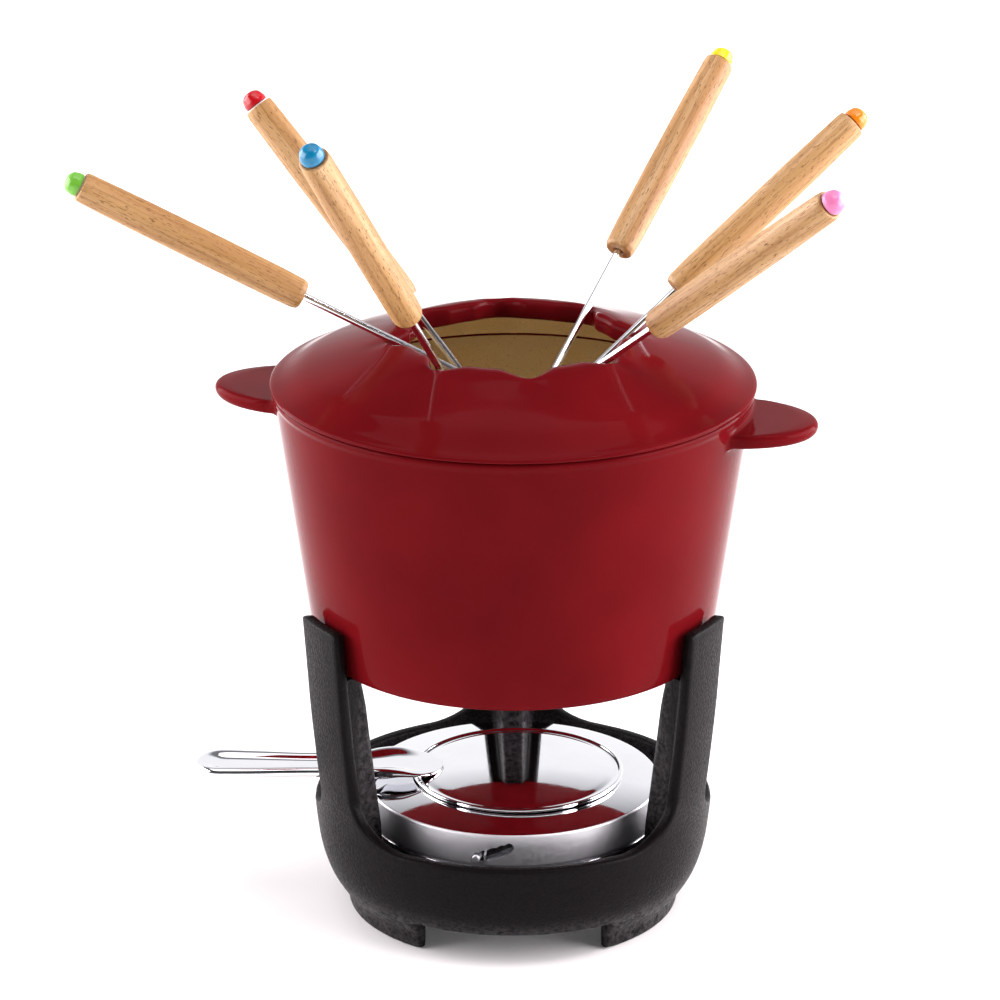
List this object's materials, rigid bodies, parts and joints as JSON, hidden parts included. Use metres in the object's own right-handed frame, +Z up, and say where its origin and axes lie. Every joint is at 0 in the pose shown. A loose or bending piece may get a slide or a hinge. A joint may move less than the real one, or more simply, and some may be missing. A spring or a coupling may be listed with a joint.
{
  "type": "fondue pot set",
  "caption": "Tapered enamelled pot with side tabs on a three-armed open stand, with a notched splash ring, long wooden-handled forks and a regulated burner with a snuffer lid.",
  "frame": {"origin": "on the table plane, under the middle of the whole set's bounding box; the pot, the stand and the burner share an upright centreline 17.2 mm to +X and 8.2 mm to -Y of it, because the forks lean out further to the left and to the rear", "axes": "+Z up, -Y is the front, with the regulator slot; the snuffer lid's handle points along -X"},
  "size_m": [0.3266, 0.2365, 0.3609],
  "materials": {
    "cast_iron_black": "matte black vitreous enamel over sand-cast iron, fine pebbled skin",
    "enamel_red": "gloss deep red vitreous enamel over cast iron, matte sand enamel on the inside faces",
    "chromed_steel": "mirror-polished sheet steel",
    "plain_steel": "plain drawn steel",
    "fuel_fibre": "soft white mineral fibre",
    "gauze_wire": "woven steel wire",
    "fork_wood": "pale beech, sanded and lightly oiled",
    "polished_steel": "polished stainless wire",
    "orange_cap": "orange moulded plastic",
    "yellow_cap": "yellow moulded plastic",
    "red_cap": "red moulded plastic",
    "green_cap": "green moulded plastic",
    "blue_cap": "blue moulded plastic",
    "pink_cap": "pink moulded plastic"
  },
  "bodies": {
    "stand": {"stand": "cast_iron_black"},
    "pot": {"pot": "enamel_red"},
    "splash_ring": {"splash_ring": "enamel_red"},
    "burner": {"burner_pan": "chromed_steel"},
    "regulator": {"regulator_collar": "chromed_steel"},
    "fuel_insert": {"fuel_cup": "plain_steel", "fuel_fibre": "fuel_fibre", "wire_gauze": "gauze_wire", "regulator_pin": "chromed_steel"},
    "snuffer": {"snuffer_lid": "chromed_steel", "lid_handle": "chromed_steel"},
    "orange_fork": {"orange_fork_handle": "fork_wood", "orange_fork_cap": "orange_cap", "orange_fork_tines": "polished_steel"},
    "yellow_fork": {"yellow_fork_handle": "fork_wood", "yellow_fork_cap": "yellow_cap", "yellow_fork_tines": "polished_steel"},
    "red_fork": {"red_fork_handle": "fork_wood", "red_fork_cap": "red_cap", "red_fork_tines": "polished_steel"},
    "green_fork": {"green_fork_handle": "fork_wood", "green_fork_cap": "green_cap", "green_fork_tines": "polished_steel"},
    "blue_fork": {"blue_fork_handle": "fork_wood", "blue_fork_cap": "blue_cap", "blue_fork_tines": "polished_steel"},
    "pink_fork": {"pink_fork_handle": "fork_wood", "pink_fork_cap": "pink_cap", "pink_fork_tines": "polished_steel"}
  },
  "joints": [
    {"name": "pot_lift", "type": "slide", "parent": "stand", "child": "pot", "axis": [0, 0, 1], "range_m": [0, 0.08]},
    {"name": "ring_lift", "type": "slide", "parent": "pot", "child": "splash_ring", "axis": [0, 0, 1], "range_m": [0, 0.1]},
    {"name": "burner_lift", "type": "slide", "parent": "stand", "child": "burner", "axis": [0, 0, 1], "range_m": [0, 0.045]},
    {"name": "regulator_turn", "type": "hinge", "parent": "burner", "child": "regulator", "pos_m": [0.0172, -0.0082, 0.0455], "axis": [0, 0, -1], "range_deg": [0, 12.5]},
    {"name": "cup_rise", "type": "slide", "parent": "burner", "child": "fuel_insert", "axis": [0, 0, 1], "range_m": [0, 0.0048]},
    {"name": "snuffer_lift", "type": "slide", "parent": "burner", "child": "snuffer", "axis": [0, 0, 1], "range_m": [0, 0.045]},
    {"name": "orange_fork_pull", "type": "slide", "parent": "splash_ring", "child": "orange_fork", "axis": [0.7227, 0.3142, 0.6157], "range_m": [0, 0.1305]},
    {"name": "yellow_fork_pull", "type": "slide", "parent": "splash_ring", "child": "yellow_fork", "axis": [0.437, 0.6359, 0.6361], "range_m": [0, 0.1265]},
    {"name": "red_fork_pull", "type": "slide", "parent": "splash_ring", "child": "red_fork", "axis": [-0.6083, 0.2458, 0.7547], "range_m": [0, 0.148]},
    {"name": "green_fork_pull", "type": "slide", "parent": "splash_ring", "child": "green_fork", "axis": [-0.8767, -0.0613, 0.4772], "range_m": [0, 0.1135]},
    {"name": "blue_fork_pull", "type": "slide", "parent": "splash_ring", "child": "blue_fork", "axis": [-0.3492, -0.4987, 0.7934], "range_m": [0, 0.124]},
    {"name": "pink_fork_pull", "type": "slide", "parent": "splash_ring", "child": "pink_fork", "axis": [0.6518, -0.4233, 0.6293], "range_m": [0, 0.127]}
  ],
  "couplings": [
    {"joint": "cup_rise", "follows": "regulator_turn", "m_per_rad": 0.022002}
  ]
}
